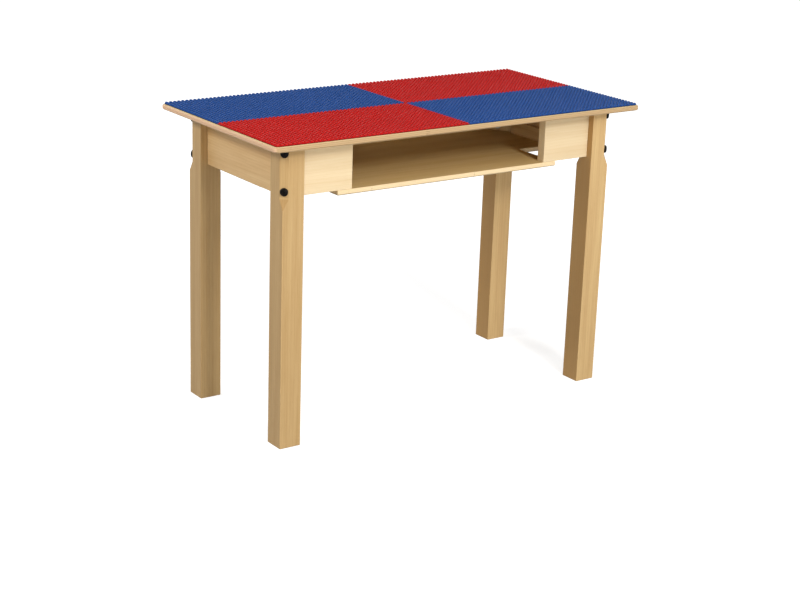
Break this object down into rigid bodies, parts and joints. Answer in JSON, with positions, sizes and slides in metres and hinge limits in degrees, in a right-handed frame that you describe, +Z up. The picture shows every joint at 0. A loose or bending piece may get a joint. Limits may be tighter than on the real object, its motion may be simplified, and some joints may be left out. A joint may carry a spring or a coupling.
{
  "type": "kids table with storage",
  "caption": "Low wooden play table on square bolted legs, with an open storage cubby under a top covered by red and blue studded building-brick baseplates.",
  "frame": {"origin": "on the floor under the middle of the tabletop", "axes": "+X along the table's length, -Y towards the side with the storage opening, +Z up"},
  "size_m": [0.776, 0.392, 0.5396],
  "materials": {
    "birch_ply": "clear satin lacquer, light birch plywood",
    "panel_wood": "clear satin lacquer, pale birch",
    "apron_wood": "clear satin lacquer, maple",
    "leg_wood": "clear satin lacquer, solid maple",
    "blue_plastic": "moulded, semi-gloss",
    "red_plastic": "moulded, semi-gloss",
    "black_steel": "black oxide",
    "zinc_steel": "zinc plated"
  },
  "bodies": {
    "root": {"tabletop": "birch_ply", "stud_plate_back_left": "blue_plastic", "stud_plate_back_right": "red_plastic", "stud_plate_front_left": "red_plastic", "stud_plate_front_right": "blue_plastic", "leg_front_left": "leg_wood", "leg_front_right": "leg_wood", "leg_back_left": "leg_wood", "leg_back_right": "leg_wood", "end_apron_left": "apron_wood", "end_apron_right": "apron_wood", "back_apron": "apron_wood", "front_panel_left": "panel_wood", "front_panel_right": "panel_wood", "storage_shelf": "birch_ply", "shelf_cleat_left": "apron_wood", "shelf_cleat_right": "apron_wood", "corner_brace_front_left": "apron_wood", "corner_brace_front_right": "apron_wood", "corner_brace_back_left": "apron_wood", "corner_brace_back_right": "apron_wood", "leg_bolts": "black_steel", "bolt_washers": "zinc_steel", "bolt_nuts": "zinc_steel", "brace_screws": "zinc_steel", "shelf_screws": "zinc_steel", "top_screws": "zinc_steel"}
  },
  "joints": []
}
